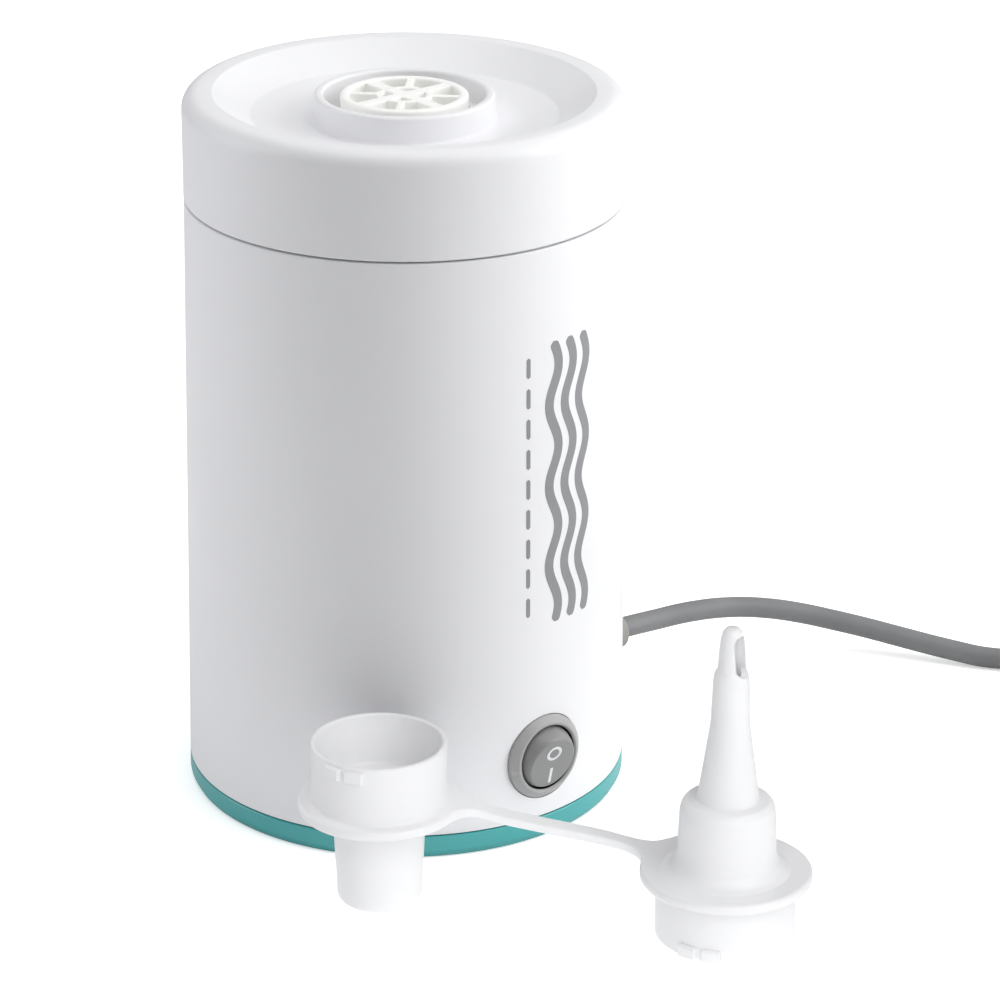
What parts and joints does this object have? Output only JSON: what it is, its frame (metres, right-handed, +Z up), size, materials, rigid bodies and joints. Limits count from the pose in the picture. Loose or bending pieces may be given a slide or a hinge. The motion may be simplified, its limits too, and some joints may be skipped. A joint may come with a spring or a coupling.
{
  "type": "electric air mattress pump",
  "caption": "Tall round mains air pump with dished top outlet, round rocker switch, power cord and a tethered pair of valve nozzles.",
  "frame": {"origin": "centre of the base's resting face, level with the feet", "axes": "+Z up through the outlet, -Y out through the switch, +X out along the cord"},
  "size_m": [0.2888, 0.2382, 0.1802],
  "materials": {
    "white_shell": "smooth satin moulded plastic, very light grain",
    "white_nozzle": "smooth soft polyethylene moulding",
    "teal_base": "satin coloured plastic",
    "switch_bezel": "satin grey plastic",
    "switch_rocker": "satin grey plastic",
    "boot_grey": "soft light grey moulding",
    "cord_grey": "smooth grey cable sheath",
    "black_rubber": "matt moulded rubber",
    "inner_plastic": "plain moulded plastic",
    "fan_plastic": "plain moulded plastic",
    "black_plastic": "moulded plastic",
    "steel": "zinc plated steel",
    "bronze": "sintered bronze",
    "copper": "enamelled copper",
    "ferrite": "sintered ferrite",
    "carbon": "pressed carbon",
    "circuit_board": "solder-masked board",
    "wire_red": "wire insulation",
    "wire_blue": "wire insulation",
    "blade_metal": "plated brass"
  },
  "bodies": {
    "pump_body": {"base_tray": "teal_base", "main_housing": "white_shell", "top_cap": "white_shell", "outlet_grille": "white_shell", "cap_seal": "black_rubber", "fan_inlet_plate": "inner_plastic", "diffuser_plate": "inner_plastic", "motor_can": "steel", "motor_end_cap": "black_plastic", "magnet_1": "ferrite", "magnet_2": "ferrite", "lower_bearing": "bronze", "upper_bearing": "bronze", "carbon_brush_1": "carbon", "carbon_brush_2": "carbon", "brush_spring_1": "steel", "brush_spring_2": "steel", "motor_screw_1": "steel", "motor_screw_2": "steel", "motor_ring": "black_rubber", "motor_bracket": "inner_plastic", "thermal_fuse": "black_plastic", "rectifier_board": "circuit_board", "bridge_rectifier": "black_plastic", "filter_capacitor": "wire_red", "switch_housing": "switch_bezel", "switch_terminal_1": "copper", "switch_terminal_2": "copper", "strain_relief": "boot_grey", "power_cord": "cord_grey", "cord_clamp": "inner_plastic", "clamp_screw_1": "steel", "clamp_screw_2": "steel", "cord_tie": "black_plastic", "plug_body": "cord_grey", "plug_blade_1": "blade_metal", "plug_blade_2": "blade_metal", "wire_live": "wire_red", "wire_neutral": "wire_blue", "wire_motor_1": "wire_red", "wire_motor_2": "black_plastic", "rubber_foot_1": "black_rubber", "base_screw_1": "steel", "fan_screw_1": "steel", "rubber_foot_2": "black_rubber", "base_screw_2": "steel", "fan_screw_2": "steel", "rubber_foot_3": "black_rubber", "base_screw_3": "steel", "fan_screw_3": "steel"},
    "rotor": {"impeller": "fan_plastic", "motor_shaft": "steel", "armature_stack": "steel", "armature_winding": "copper", "commutator": "copper"},
    "rocker": {"switch_rocker": "switch_rocker"},
    "contact": {"contact_lever": "copper"},
    "nozzles": {"nozzle_set": "white_nozzle"}
  },
  "joints": [
    {"name": "rotor_spin", "type": "hinge", "parent": "pump_body", "child": "rotor", "pos_m": [0, 0, 0.085], "axis": [0, 0, 1], "continuous": true},
    {"name": "switch_rock", "type": "hinge", "parent": "pump_body", "child": "rocker", "pos_m": [0, -0.05374, 0.0223], "axis": [-1, 0, 0], "range_deg": [0, 26]},
    {"name": "contact_rock", "type": "hinge", "parent": "pump_body", "child": "contact", "pos_m": [0, -0.0434, 0.0223], "axis": [-1, 0, 0], "range_deg": [-10.4, 0]},
    {"name": "nozzle_lift", "type": "slide", "parent": "pump_body", "child": "nozzles", "axis": [0, 0, 1], "range_m": [0, 0.25]}
  ],
  "couplings": [
    {"joint": "contact_rock", "follows": "switch_rock", "ratio": -0.4}
  ]
}
